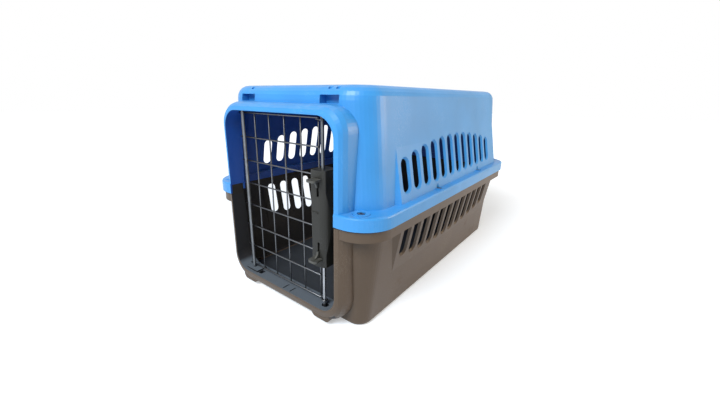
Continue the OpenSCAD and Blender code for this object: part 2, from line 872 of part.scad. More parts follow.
module flange_nut(i) {
    p = bolt_places[i];
    color([0.3, 0.31, 0.33]) place() translate([p[0], p[1], seam_height - wall - nut_height])
        difference() {
            rotate([0, 0, 30]) cylinder(r = nut_flats / 2 / cos(30), h = nut_height, $fn = 6);
            translate([0, 0, -over]) cylinder(r = bolt_r + fixed_gap, h = nut_height + 2 * over);
        }
}

module flange_bolt_1() {
    flange_bolt(0);
}

module flange_bolt_2() {
    flange_bolt(1);
}

module flange_bolt_3() {
    flange_bolt(2);
}

module flange_bolt_4() {
    flange_bolt(3);
}

module flange_bolt_5() {
    flange_bolt(4);
}

module flange_bolt_6() {
    flange_bolt(5);
}

module flange_bolt_7() {
    flange_bolt(6);
}

module flange_bolt_8() {
    flange_bolt(7);
}

module flange_nut_1() {
    flange_nut(0);
}

module flange_nut_2() {
    flange_nut(1);
}

module flange_nut_3() {
    flange_nut(2);
}

module flange_nut_4() {
    flange_nut(3);
}

module flange_nut_5() {
    flange_nut(4);
}

module flange_nut_6() {
    flange_nut(5);
}

module flange_nut_7() {
    flange_nut(6);
}

module flange_nut_8() {
    flange_nut(7);
}

lower_shell();
upper_shell();
door_mesh();
hinge_rod();
latch_front();
latch_back();
latch_screw_upper();
latch_screw_lower();
upper_lever();
upper_bolt();
upper_spring();
lower_lever();
lower_bolt();
lower_spring();
carry_handle();
handle_pin_front();
handle_pin_rear();
flange_bolt_1();
flange_bolt_2();
flange_bolt_3();
flange_bolt_4();
flange_bolt_5();
flange_bolt_6();
flange_bolt_7();
flange_bolt_8();
flange_nut_1();
flange_nut_2();
flange_nut_3();
flange_nut_4();
flange_nut_5();
flange_nut_6();
flange_nut_7();
flange_nut_8();
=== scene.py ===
"""Looks for the bird travel carrier, laid out as a Blender add-on and run as a script."""

import math

import bmesh
import bpy
from mathutils import Matrix, Vector


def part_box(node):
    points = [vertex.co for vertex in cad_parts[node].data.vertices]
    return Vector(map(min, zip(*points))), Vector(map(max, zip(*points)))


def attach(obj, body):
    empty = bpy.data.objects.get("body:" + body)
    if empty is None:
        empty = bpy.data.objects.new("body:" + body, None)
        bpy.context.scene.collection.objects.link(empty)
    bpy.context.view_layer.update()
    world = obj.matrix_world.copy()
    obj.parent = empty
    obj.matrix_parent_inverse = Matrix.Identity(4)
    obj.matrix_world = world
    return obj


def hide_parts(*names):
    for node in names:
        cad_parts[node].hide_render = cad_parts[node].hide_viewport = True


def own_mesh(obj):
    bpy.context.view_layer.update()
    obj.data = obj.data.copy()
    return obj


bl_info = {
    "name": "Bird Travel Carrier Looks",
    "version": (1, 0, 0),
    "blender": (4, 5, 0),
    "location": "View3D > Sidebar > Carrier",
    "description": "Finishes and fine pieces for a bolted travel carrier with a wire door",
    "category": "Object",
}

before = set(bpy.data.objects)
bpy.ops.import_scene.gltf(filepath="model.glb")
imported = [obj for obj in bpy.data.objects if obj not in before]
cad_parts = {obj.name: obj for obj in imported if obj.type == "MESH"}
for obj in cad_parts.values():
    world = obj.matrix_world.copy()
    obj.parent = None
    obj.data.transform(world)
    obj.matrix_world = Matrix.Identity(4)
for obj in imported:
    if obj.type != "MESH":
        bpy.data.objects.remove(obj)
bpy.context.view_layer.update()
MM = 0.001
FLANGE_BOLTS = ["flange_bolt_%d" % i for i in range(1, 9)]
FLANGE_NUTS = ["flange_nut_%d" % i for i in range(1, 9)]


def node(name):
    """The CAD object of that name."""
    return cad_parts[name]


def span(name):
    """Lowest and highest corner of a CAD node as two vectors."""
    low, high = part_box(name)
    return Vector(low), Vector(high)


# Shader groups


class GroupMaker:
    """A new shader node group, filled in from left to right."""

    def __init__(self, name, inputs, outputs):
        self.tree = bpy.data.node_groups.new(name, "ShaderNodeTree")
        for label, value, low, high in inputs:
            item = self.tree.interface.new_socket(label, in_out="INPUT", socket_type="NodeSocketFloat")
            item.default_value = value
            item.min_value = low
            item.max_value = high
        for label in outputs:
            self.tree.interface.new_socket(label, in_out="OUTPUT", socket_type="NodeSocketFloat")
        self.given = self.tree.nodes.new("NodeGroupInput")
        self.result = self.tree.nodes.new("NodeGroupOutput")
        self.column = 0
        self.given.location = (-300, 0)

    def add(self, kind, **settings):
        self.column += 1
        made = self.tree.nodes.new(kind)
        made.location = (self.column * 190, (self.column % 3) * -180)
        for key, value in settings.items():
            setattr(made, key, value)
        return made

    def join(self, source, target):
        self.tree.links.new(source, target)

    def number(self, operation, a, b=None, clamp=False):
        made = self.add("ShaderNodeMath", operation=operation, use_clamp=clamp)
        for i, value in enumerate((a, b)):
            if value is None:
                continue
            if isinstance(value, (int, float)):
                made.inputs[i].default_value = value
            else:
                self.join(value, made.inputs[i])
        return made.outputs[0]

    def noise(self, coords, scale, detail=3.0, rough=0.5):
        made = self.add("ShaderNodeTexNoise")
        self.join(coords, made.inputs["Vector"])
        made.inputs["Detail"].default_value = detail
        made.inputs["Roughness"].default_value = rough
        if isinstance(scale, (int, float)):
            made.inputs["Scale"].default_value = scale
        else:
            self.join(scale, made.inputs["Scale"])
        return made.outputs[0]

    def remap(self, value, low, high, to_low=0.0, to_high=1.0):
        made = self.add("ShaderNodeMapRange", interpolation_type="SMOOTHSTEP")
        self.join(value, made.inputs["Value"])
        for label, amount in (("From Min", low), ("From Max", high), ("To Min", to_low), ("To Max", to_high)):
            made.inputs[label].default_value = amount
        return made.outputs[0]


def moulded_surface():
    """Fine spark grain and the slow waviness of a large moulding."""
    g = GroupMaker(
        "moulded_surface",
        [("Grain Scale", 900.0, 50.0, 4000.0), ("Grain Depth", 0.5, 0.0, 2.0), ("Wave Scale", 12.0, 1.0, 80.0),
         ("Wave Depth", 0.4, 0.0, 2.0)],
        ["Height", "Grain", "Wave"],
    )
    coords = g.add("ShaderNodeTexCoord").outputs["Object"]
    grain = g.noise(coords, g.given.outputs["Grain Scale"], 2.0, 0.6)
    wave = g.noise(coords, g.given.outputs["Wave Scale"], 2.0, 0.45)
    fine = g.number("MULTIPLY", grain, g.given.outputs["Grain Depth"])
    slow = g.number("MULTIPLY", wave, g.given.outputs["Wave Depth"])
    g.join(g.number("ADD", fine, slow), g.result.inputs["Height"])
    g.join(grain, g.result.inputs["Grain"])
    g.join(wave, g.result.inputs["Wave"])
    return g.tree


def handling_scuffs():
    """Thin scratches and small rubbed patches from handling."""
    g = GroupMaker(
        "handling_scuffs",
        [("Scratch Scale", 60.0, 5.0, 400.0), ("Amount", 0.3, 0.0, 1.0)],
        ["Scratches", "Rubbed"],
    )
    coords = g.add("ShaderNodeTexCoord").outputs["Object"]
    twist = g.add("ShaderNodeMapping")
    twist.inputs["Rotation"].default_value = (0.5, 0.3, 0.9)
    twist.inputs["Scale"].default_value = (1.0, 9.0, 2.2)
    g.join(coords, twist.inputs["Vector"])
    lines = g.noise(twist.outputs[0], g.given.outputs["Scratch Scale"], 6.0, 0.62)
    thin = g.number("ABSOLUTE", g.number("SUBTRACT", lines, 0.5))
    near = g.remap(thin, 0.0, 0.011, 1.0, 0.0)
    where = g.remap(g.noise(coords, 17.0, 2.0), 0.52, 0.7)
    g.join(g.number("MULTIPLY", g.number("MULTIPLY", near, where), g.given.outputs["Amount"], True),
           g.result.inputs["Scratches"])
    patch = g.remap(g.noise(coords, 34.0, 5.0, 0.65), 0.56, 0.74)
    g.join(g.number("MULTIPLY", patch, g.given.outputs["Amount"], True), g.result.inputs["Rubbed"])
    return g.tree


def settled_dust():
    """Thin dust that lies on faces that look up."""
    g = GroupMaker("settled_dust", [("Amount", 0.2, 0.0, 1.0), ("Scale", 90.0, 5.0, 600.0)], ["Dust"])
    split = g.add("ShaderNodeSeparateXYZ")
    g.join(g.add("ShaderNodeNewGeometry").outputs["Normal"], split.inputs[0])
    up = g.remap(split.outputs["Z"], 0.55, 0.98)
    coords = g.add("ShaderNodeTexCoord").outputs["Object"]
    specks = g.remap(g.noise(coords, g.given.outputs["Scale"], 6.0, 0.7), 0.42, 0.72)
    g.join(g.number("MULTIPLY", g.number("MULTIPLY", up, specks), g.given.outputs["Amount"], True),
           g.result.inputs["Dust"])
    return g.tree


def painted_light_masks():
    """Masks for painted light: painted shade on the faces that look into the carrier, painted cool light on the upward
    ones among them, and a painted shadow line on faces above the seam level.
    """
    g = GroupMaker(
        "painted_light_masks",
        [("Half Width", 0.138, 0.01, 1.0), ("Side Lean", 0.0945, -1.0, 1.0), ("Level", 0.145, 0.0, 1.0),
         ("Door Reach", 0.08, 0.0, 1.0), ("End Reach", 0.18, 0.0, 1.0), ("Middle", 0.00475, -1.0, 1.0),
         ("Sill Line", -0.2, -1.0, 1.0), ("Socket Level", 0.2552, 0.0, 1.0), ("Seam Level", 1.0, 0.0, 1.0),
         ("Doorway Top", -1.0, -1.0, 1.0)],
        ["Inside", "Painted Cool Light", "Seam"],
    )
    given = g.given.outputs
    coords = g.add("ShaderNodeTexCoord")
    place = g.add("ShaderNodeSeparateXYZ")
    g.join(coords.outputs["Object"], place.inputs[0])
    facing = g.add("ShaderNodeSeparateXYZ")
    g.join(coords.outputs["Normal"], facing.inputs[0])
    along = g.number("SUBTRACT", place.outputs["Y"], given["Middle"])
    rise = g.number("SUBTRACT", place.outputs["Z"], given["Level"])
    across = g.number("ABSOLUTE", place.outputs["X"])
    width = g.number("SUBTRACT", given["Half Width"], g.number("MULTIPLY", rise, given["Side Lean"]))
    within = g.remap(g.number("SUBTRACT", width, across), 0.0, 0.0004)

    def inward(part, offset):
        turned = g.number("MULTIPLY", facing.outputs[part], g.number("SIGN", offset))
        return g.remap(g.number("MULTIPLY", turned, -1.0), 0.35, 0.6)

    beyond_door = g.remap(g.number("SUBTRACT", across, given["Door Reach"]), 0.0, 0.001)
    sides = g.number("MULTIPLY", inward("X", place.outputs["X"]), beyond_door)
    near_end = g.remap(g.number("SUBTRACT", g.number("ABSOLUTE", along), given["End Reach"]), 0.0, 0.001)
    ends = g.number("MULTIPLY", inward("Y", along), near_end)
    flat = g.remap(g.number("SUBTRACT", width, across), 0.011, 0.013)
    level = g.number("MULTIPLY", inward("Z", rise), flat)
    walls = g.number("MAXIMUM", sides, ends)
    high = g.remap(g.number("SUBTRACT", place.outputs["Z"], given["Socket Level"]), 0.0, 0.0004)
    front = g.remap(g.number("SUBTRACT", given["Sill Line"], place.outputs["Y"]), 0.0, 0.0004)
    clear = g.number("SUBTRACT", 1.0, g.number("MULTIPLY", high, front))
    walls = g.number("MULTIPLY", walls, clear)
    # Painted shade: the inner walls, ends and flat faces within the shell take the much darker inner colour, except the
    # sockets in front of the sill line.
    cabin = g.number("MULTIPLY", g.number("MAXIMUM", walls, level), within)
    # Painted shade also in the doorway: between the jambs, below the doorway top and above the foot.
    jamb = g.number("SUBTRACT", 0.0965, across)
    ahead = g.number("ADD", place.outputs["Y"], 0.2325)
    behind = g.number("SUBTRACT", -0.19, place.outputs["Y"])
    head = g.number("SUBTRACT", given["Doorway Top"], place.outputs["Z"])
    foot = g.number("SUBTRACT", place.outputs["Z"], 0.0125)
    doorway = g.number("MINIMUM", g.number("MINIMUM", jamb, head), g.number("MINIMUM", ahead, behind))
    doorway = g.number("MINIMUM", doorway, foot)
    g.join(g.number("MAXIMUM", cabin, g.remap(doorway, 0.0, 0.0004)), g.result.inputs["Inside"])
    # Painted shadow: faces above the seam level, just under the upper shell's skirt, are painted near black.
    over = g.number("SUBTRACT", place.outputs["Z"], given["Seam Level"])
    g.join(g.remap(over, -0.0003, 0.0003), g.result.inputs["Seam"])
    # Painted cool light: upward inner faces take the slate floor colour, fully on the sill in front of the sill line
    # and at about a fifth further in.
    on_sill = g.remap(g.number("SUBTRACT", given["Sill Line"], place.outputs["Y"]), -0.004, 0.004, 0.22, 1.0)
    up = g.number("MULTIPLY", g.remap(facing.outputs["Z"], 0.5, 0.8), on_sill)
    g.join(g.number("MULTIPLY", g.number("MULTIPLY", level, up), within), g.result.inputs["Painted Cool Light"])
    return g.tree


def drawn_metal():
    """Fine lines along the length of drawn wire or turned rod."""
    g = GroupMaker("drawn_metal", [("Line Scale", 500.0, 50.0, 3000.0), ("Depth", 0.3, 0.0, 1.0)],
                   ["Height", "Lines", "Cloud"])
    coords = g.add("ShaderNodeTexCoord").outputs["Object"]
    stretch = g.add("ShaderNodeMapping")
    stretch.inputs["Scale"].default_value = (1.0, 1.0, 0.06)
    g.join(coords, stretch.inputs["Vector"])
    lines = g.noise(stretch.outputs[0], g.given.outputs["Line Scale"], 3.0, 0.6)
    cloud = g.noise(coords, 130.0, 4.0, 0.6)
    g.join(g.number("MULTIPLY", lines, g.given.outputs["Depth"]), g.result.inputs["Height"])
    g.join(lines, g.result.inputs["Lines"])
    g.join(cloud, g.result.inputs["Cloud"])
    return g.tree


# Materials


class Finish:
    """A material with its own Principled shader, wired step by step."""

    def __init__(self, name):
        self.material = bpy.data.materials.new(name)
        self.material.use_nodes = True
        self.tree = self.material.node_tree
        self.shader = next(n for n in self.tree.nodes if n.type == "BSDF_PRINCIPLED")
        self.column = 0

    def add(self, kind, **settings):
        self.column += 1
        made = self.tree.nodes.new(kind)
        made.location = (-1500 + self.column * 170, -260 * (self.column % 4))
        for key, value in settings.items():
            setattr(made, key, value)
        return made

    def group(self, tree, **values):
        made = self.add("ShaderNodeGroup")
        made.node_tree = tree
        for label, value in values.items():
            made.inputs[label.replace("_", " ")].default_value = value
        return made

    def join(self, source, target):
        self.tree.links.new(source, target)

    def set(self, **values):
        for label, value in values.items():
            self.shader.inputs[label.replace("_", " ")].default_value = value

    def mix(self, factor, a, b, blend="MIX"):
        made = self.add("ShaderNodeMix", data_type="RGBA", blend_type=blend)
        if isinstance(factor, (int, float)):
            made.inputs["Factor"].default_value = factor
        else:
            self.join(factor, made.inputs["Factor"])
        for socket, value in ((made.inputs[6], a), (made.inputs[7], b)):
            if isinstance(value, (tuple, list)):
                socket.default_value = (*value[:3], 1.0)
            else:
                self.join(value, socket)
        return made.outputs[2]

    def remap(self, value, low, high, to_low, to_high):
        made = self.add("ShaderNodeMapRange")
        self.join(value, made.inputs["Value"])
        for label, amount in (("From Min", low), ("From Max", high), ("To Min", to_low), ("To Max", to_high)):
            made.inputs[label].default_value = amount
        return made.outputs[0]

    def plus(self, a, b):
        made = self.add("ShaderNodeMath", operation="ADD", use_clamp=True)
        for socket, value in zip(made.inputs, (a, b)):
            if isinstance(value, (int, float)):
                socket.default_value = value
            else:
                self.join(value, socket)
        return made.outputs[0]

    def bump(self, height, strength, distance):
        made = self.add("ShaderNodeBump")
        made.inputs["Strength"].default_value = strength
        made.inputs["Distance"].default_value = distance
        self.join(height, made.inputs["Height"])
        self.join(made.outputs[0], self.shader.inputs["Normal"])


def shell_plastic(name, colour, inner, floor, pale, rough, groups, sheen=0.5, **shape):
    """Moulded plastic of a shell, with painted shade on its inner faces (a much darker colour, also rougher there),
    painted cool light on its upward inner faces and sill, and a painted shadow, near black, on faces above the seam
    level.
    """
    f = Finish(name)
    where = f.group(groups["painted_light_masks"], **shape)
    skin = f.group(groups["moulded_surface"], Grain_Scale=1400.0, Grain_Depth=0.35, Wave_Scale=16.0, Wave_Depth=0.35)
    marks = f.group(groups["handling_scuffs"], Scratch_Scale=55.0, Amount=0.35)
    film = f.group(groups["settled_dust"], Amount=0.12, Scale=110.0)
    deep = tuple(c * 0.9 for c in colour)
    tone = f.mix(f.remap(skin.outputs["Wave"], 0.35, 0.65, 0.0, 1.0), deep, colour)
    marked = f.mix(marks.outputs["Scratches"], tone, pale)
    dusty = f.mix(film.outputs["Dust"], marked, (0.55, 0.54, 0.52))
    # Painted shade: the inner faces take the much darker inner colour.
    walls = f.mix(where.outputs["Inside"], dusty, inner)
    # Painted cool light: upward inner faces and the sill take the slate floor colour.
    # Painted shadow: faces above the seam level take near black.
    with_painted_light = f.mix(where.outputs["Seam"], f.mix(where.outputs["Painted Cool Light"], walls, floor), (0.012, 0.011, 0.01))
    f.join(with_painted_light, f.shader.inputs["Base Color"])
    uneven = f.remap(skin.outputs["Grain"], 0.3, 0.7, rough - 0.05, rough + 0.06)
    rubbed = f.plus(uneven, f.remap(marks.outputs["Rubbed"], 0.0, 1.0, 0.0, 0.25))
    f.join(f.plus(rubbed, f.remap(where.outputs["Inside"], 0.0, 1.0, 0.0, 0.2)), f.shader.inputs["Roughness"])
    f.set(Specular_IOR_Level=sheen)
    f.bump(skin.outputs["Height"], 0.12, 0.0006)
    return f.material


def moulded_plastic(name, colour, pale, rough, groups, grain=1400.0, depth=0.35, dust=0.2, scuffs=0.35, sheen=0.5):
    """Moulded polypropylene: solid colour, slow tone changes, grain, scuffs and thin dust."""
    f = Finish(name)
    skin = f.group(groups["moulded_surface"], Grain_Scale=grain, Grain_Depth=depth, Wave_Scale=16.0, Wave_Depth=0.35)
    marks = f.group(groups["handling_scuffs"], Scratch_Scale=55.0, Amount=scuffs)
    film = f.group(groups["settled_dust"], Amount=dust, Scale=110.0)
    deep = tuple(c * 0.86 for c in colour)
    tone = f.mix(f.remap(skin.outputs["Wave"], 0.35, 0.65, 0.0, 1.0), deep, colour)
    marked = f.mix(marks.outputs["Scratches"], tone, pale)
    f.join(f.mix(film.outputs["Dust"], marked, (0.55, 0.54, 0.52)), f.shader.inputs["Base Color"])
    uneven = f.remap(skin.outputs["Grain"], 0.3, 0.7, rough - 0.05, rough + 0.06)
    f.join(f.plus(uneven, f.remap(marks.outputs["Rubbed"], 0.0, 1.0, 0.0, 0.25)), f.shader.inputs["Roughness"])
    f.set(Specular_IOR_Level=sheen)
    f.bump(skin.outputs["Height"], 0.12, 0.0006)
    return f.material


def plated_metal(name, colour, rough, groups, metallic=1.0, lines=700.0):
    """Zinc-plated wire or rod with drawing lines and a slightly clouded coat."""
    f = Finish(name)
    drawn = f.group(groups["drawn_metal"], Line_Scale=lines, Depth=0.3)
    dull = tuple(c * 0.72 for c in colour)
    f.join(f.mix(f.remap(drawn.outputs["Cloud"], 0.35, 0.7, 0.0, 1.0), colour, dull), f.shader.inputs["Base Color"])
    f.join(f.remap(drawn.outputs["Cloud"], 0.3, 0.7, rough - 0.06, rough + 0.12), f.shader.inputs["Roughness"])
    f.set(Metallic=metallic)
    f.bump(drawn.outputs["Height"], 0.15, 0.0002)
    return f.material


def dress(material, *names):
    """Gives CAD nodes a material in place of the ones they came with."""
    for name in names:
        slots = node(name).data.materials
        slots.clear()
        slots.append(material)


# Mesh tools


def new_piece(name, bm, material, body, smooth=True):
    """Turns a bmesh into an object that rides on a CAD body."""
    bmesh.ops.recalc_face_normals(bm, faces=bm.faces)
    mesh = bpy.data.meshes.new(name)
    bm.to_mesh(mesh)
    bm.free()
    for face in mesh.polygons:
        face.use_smooth = smooth
    mesh.materials.append(material)
    piece = bpy.data.objects.new(name, mesh)
    bpy.context.scene.collection.objects.link(piece)
    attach(piece, body)
    return piece


def wire(bm, points, radius, sides=12):
    """A round wire along points, with a domed end at each tip."""
    points = [Vector(p) for p in points]
    steps = [(points[1] - points[0]).normalized()]
    for i in range(1, len(points) - 1):
        steps.append(((points[i + 1] - points[i]).normalized() + (points[i] - points[i - 1]).normalized()).normalized())
    steps.append((points[-1] - points[-2]).normalized())
    side = steps[0].orthogonal().normalized()
    rings = []

    def ring(centre, along, across, r):
        up = along.cross(across).normalized()
        return [bm.verts.new(centre + r * (math.cos(a) * across + math.sin(a) * up))
                for a in (2 * math.pi * k / sides for k in range(sides))]

    for deg in (75, 40):
        t = math.radians(deg)
        rings.append(ring(points[0] - steps[0] * radius * 0.6 * math.sin(t), steps[0], side, radius * math.cos(t)))
    for centre, along in zip(points, steps):
        side = (side - along * side.dot(along)).normalized()
        rings.append(ring(centre, along, side, radius))
    for deg in (40, 75):
        t = math.radians(deg)
        rings.append(ring(points[-1] + steps[-1] * radius * 0.6 * math.sin(t), steps[-1], side, radius * math.cos(t)))
    for a, b in zip(rings, rings[1:]):
        for k in range(sides):
            bm.faces.new((a[k], a[(k + 1) % sides], b[(k + 1) % sides], b[k]))
    bm.faces.new(rings[0])
    bm.faces.new(rings[-1])


# Settings


class CarrierColours(bpy.types.PropertyGroup):
    """Colours of the carrier's finishes."""

    upper: bpy.props.FloatVectorProperty(
        name="Upper shell", description="Colour of the upper shell's plastic", subtype="COLOR", size=3,
        min=0.0, max=1.0, default=(0.038, 0.28, 0.67))
    lower: bpy.props.FloatVectorProperty(
        name="Lower shell", description="Colour of the lower shell's plastic", subtype="COLOR", size=3,
        min=0.0, max=1.0, default=(0.090, 0.061, 0.039))
    # Painted shade: the two inside colours darken the shells' inner faces.
    upper_painted_shade: bpy.props.FloatVectorProperty(
        name="Upper shell inside", description="Painted shade of the upper shell's inner faces", subtype="COLOR",
        size=3, min=0.0, max=1.0, default=(0.006, 0.07, 0.36))
    lower_painted_shade: bpy.props.FloatVectorProperty(
        name="Lower shell inside", description="Painted shade of the lower shell's inner faces", subtype="COLOR",
        size=3, min=0.0, max=1.0, default=(0.012, 0.013, 0.016))
    # Painted cool light: this slate colour stands in for cool light on the upward faces inside the lower shell and on
    # its sill.
    floor: bpy.props.FloatVectorProperty(
        name="Floor and sill", description="Painted cool light of the upward faces inside the lower shell", subtype="COLOR",
        size=3, min=0.0, max=1.0, default=(0.100, 0.120, 0.142))
    latch: bpy.props.FloatVectorProperty(
        name="Latch", description="Colour of the latch housing", subtype="COLOR", size=3,
        min=0.0, max=1.0, default=(0.022, 0.022, 0.019))
    lever: bpy.props.FloatVectorProperty(
        name="Levers", description="Colour of the two finger levers", subtype="COLOR", size=3,
        min=0.0, max=1.0, default=(0.06, 0.06, 0.052))
    handle: bpy.props.FloatVectorProperty(
        name="Handle", description="Colour of the bail handle", subtype="COLOR", size=3,
        min=0.0, max=1.0, default=(0.03, 0.15, 0.45))
    wire: bpy.props.FloatVectorProperty(
        name="Wire", description="Colour of the door's plated wire", subtype="COLOR", size=3,
        min=0.0, max=1.0, default=(0.15, 0.155, 0.165))
    rod: bpy.props.FloatVectorProperty(
        name="Rods", description="Colour of the hinge rod, bolts and pins", subtype="COLOR", size=3,
        min=0.0, max=1.0, default=(0.42, 0.43, 0.45))


class CarrierSizes(bpy.types.PropertyGroup):
    """Sizes of the pieces that are made here."""

    wire_diameter: bpy.props.FloatProperty(
        name="Wire diameter", description="Diameter of the door's wires", unit="LENGTH", min=0.001, max=0.004,
        default=0.002)
    uprights: bpy.props.IntProperty(name="Uprights", description="Number of upright wires", min=3, max=12, default=6)
    crosses: bpy.props.IntProperty(name="Cross wires", description="Number of cross wires", min=3, max=14, default=8)
    loop_radius: bpy.props.FloatProperty(
        name="Loop radius", description="Radius of the guide loops round the bolt rods", unit="LENGTH",
        min=0.002, max=0.006, default=0.0032)
    stub: bpy.props.FloatProperty(
        name="Stub", description="How far the cross wires reach past the hinge rod", unit="LENGTH",
        min=0.0, max=0.005, default=0.0024)
    spring_wire: bpy.props.FloatProperty(
        name="Spring wire", description="Diameter of the springs' wire", unit="LENGTH", min=0.0004, max=0.002,
        default=0.0009)
    spring_turns: bpy.props.IntProperty(name="Turns", description="Turns of each spring", min=3, max=20, default=8)
    squeeze: bpy.props.FloatProperty(
        name="Squeeze", description="How far each lever shortens its spring", unit="LENGTH", min=0.0, max=0.02,
        default=0.012)


class CarrierStage(bpy.types.PropertyGroup):
    """Camera, lamps and floor."""

    camera_place: bpy.props.FloatVectorProperty(
        name="Camera place", description="Where the camera stands", subtype="TRANSLATION", unit="LENGTH", size=3,
        default=(0.32246, -0.48478, 0.27312))
    yaw: bpy.props.FloatProperty(
        name="Yaw", description="Turn of the camera to the left of straight ahead", subtype="ANGLE",
        default=math.radians(38.22))
    pitch: bpy.props.FloatProperty(
        name="Pitch", description="Tilt of the camera below level", subtype="ANGLE", default=math.radians(16.93))
    roll: bpy.props.FloatProperty(
        name="Roll", description="Roll of the camera", subtype="ANGLE", default=math.radians(0.85))
    lens: bpy.props.FloatProperty(
        name="Lens", description="Focal length in millimetres on a 36 mm sensor", min=8.0, max=200.0, default=16.536)
    world_level: bpy.props.FloatProperty(
        name="World level", description="Strength of the even light", min=0.0, max=3.0, default=0.14)


# Operators


def finish_groups():
    """The shader groups, built on first use."""
    makers = {"moulded_surface": moulded_surface, "handling_scuffs": handling_scuffs,
              "settled_dust": settled_dust, "painted_light_masks": painted_light_masks, "drawn_metal": drawn_metal}
    return {name: bpy.data.node_groups.get(name) or make() for name, make in makers.items()}


class CARRIER_OT_shells(bpy.types.Operator):
    """Gives both shells their moulded plastic"""

    bl_idname = "carrier.shells"
    bl_label = "Finish the shells"

    def execute(self, context):
        colours = context.scene.carrier_colours
        groups = finish_groups()
        # The inside colours paint shade on the shells' inner faces.
        upper = shell_plastic("upper_shell_plastic", tuple(colours.upper), tuple(colours.upper_painted_shade),
                              tuple(colours.upper_painted_shade), (0.45, 0.62, 0.9), 0.36, groups)
        # The floor colour paints cool light on the lower shell's upward inner faces and sill.
        # The lower shell's seam level places a painted shadow, near black, on its faces just under the upper shell's
        # skirt.
        lower = shell_plastic("lower_shell_plastic", tuple(colours.lower), tuple(colours.lower_painted_shade),
                              tuple(colours.floor), (0.3, 0.27, 0.23), 0.44, groups, sheen=0.35,
                              Half_Width=0.1385, Side_Lean=-0.084, Level=0.149, Seam_Level=0.1345,
                              Doorway_Top=0.134)
        dress(upper, "upper_shell")
        dress(lower, "lower_shell")
        return {"FINISHED"}


class CARRIER_OT_door_wires(bpy.types.Operator):
    """Builds the welded wire mesh of the door with its guide loops"""

    bl_idname = "carrier.door_wires"
    bl_label = "Build the door wires"

    def execute(self, context):
        sizes = context.scene.carrier_sizes
        colours = context.scene.carrier_colours
        groups = finish_groups()
        low, high = span("door_mesh")
        bolt_low, bolt_high = span("upper_bolt")
        r = sizes.wire_diameter / 2
        axis_x = (bolt_low.x + bolt_high.x) / 2
        axis_y = (bolt_low.y + bolt_high.y) / 2
        hinge_low, hinge_high = span("hinge_rod")
        cross_y = hinge_high.y + r - 0.0002
        upright_y = cross_y + 1.6 * r
        left = low.x + r
        right = axis_x - 0.010
        bottom = low.z + r
        top = high.z - r
        bm = bmesh.new()
        count = sizes.uprights
        for i in range(count):
            x = left + (right - left) * i / (count - 1)
            wire(bm, [(x, upright_y, bottom - 0.4 * r), (x, upright_y, (bottom + top) / 2),
                      (x, upright_y, top + 0.4 * r)], r)
        rows = sizes.crosses
        for i in range(rows):
            z = bottom + (top - bottom) * i / (rows - 1)
            wire(bm, [(left - sizes.stub, cross_y, z), ((left + right) / 2, cross_y, z),
                      (right + 0.4 * r, cross_y, z)], r)
            for k in range(count):
                x = left + (right - left) * k / (count - 1)
                weld(bm, Vector((x, (cross_y + upright_y) / 2, z)), r)
        for z in (bottom + 1.6 * r, top - 1.6 * r):
            path = [(right - 2 * r, cross_y, z)]
            for k in range(25):
                a = math.radians(90 - 14.2 * k)
                path.append((axis_x + sizes.loop_radius * math.cos(a), axis_y + sizes.loop_radius * math.sin(a),
                             z + 0.0))
            wire(bm, path, r)
        piece = new_piece("door_wires", bm, plated_metal("plated_wire", tuple(colours.wire), 0.3, groups),
                          "door")
        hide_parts("door_mesh")
        return {"FINISHED"}


def weld(bm, centre, r):
    """A small flattened bead where two wires are welded."""
    made = bmesh.ops.create_icosphere(bm, subdivisions=2, radius=r * 0.95,
                                      matrix=Matrix.Translation(centre))
    for v in made["verts"]:
        v.co.y = centre.y + (v.co.y - centre.y) * 0.8


class CARRIER_OT_latch(bpy.types.Operator):
    """Finishes the latch housing, its levers and screws"""

    bl_idname = "carrier.latch"
    bl_label = "Finish the latch"

    def execute(self, context):
        colours = context.scene.carrier_colours
        groups = finish_groups()
        housing = moulded_plastic("latch_plastic", tuple(colours.latch), (0.2, 0.2, 0.19), 0.45, groups,
                                  dust=0.05, sheen=0.3)
        lever = moulded_plastic("lever_plastic", tuple(colours.lever), (0.25, 0.25, 0.23), 0.4, groups, dust=0.1)
        steel = plated_metal("screw_steel", (0.42, 0.43, 0.45), 0.35, groups)
        dress(housing, "latch_front", "latch_back")
        dress(lever, "upper_lever", "lower_lever")
        dress(steel, "latch_screw_upper", "latch_screw_lower")
        return {"FINISHED"}


class CARRIER_OT_springs(bpy.types.Operator):
    """Builds the two latch springs"""

    bl_idname = "carrier.springs"
    bl_label = "Build the springs"

    def execute(self, context):
        sizes = context.scene.carrier_sizes
        steel = plated_metal("spring_steel", (0.45, 0.45, 0.45), 0.35, finish_groups())
        for name, joint, upright in (("upper_spring", "upper_squeeze", 1), ("lower_spring", "lower_squeeze", -1)):
            low, high = span(name)
            centre = (low + high) / 2
            r = sizes.spring_wire / 2
            reach = (high.x - low.x) / 2 - r
            length = high.z - low.z
            fixed = low.z if upright > 0 else high.z
            steps = 28 * sizes.spring_turns
            points = []
            for k in range(steps + 1):
                a = 2 * math.pi * k / 28
                rise = r + (length - 2 * r) * k / steps
                points.append((centre.x + reach * math.cos(a), centre.y + reach * math.sin(a), fixed + upright * rise))
            bm = bmesh.new()
            wire(bm, points, r, sides=10)
            piece = new_piece("coil_" + name.split("_")[0], bm, steel, "door")
            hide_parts(name)
            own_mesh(piece)
        return {"FINISHED"}


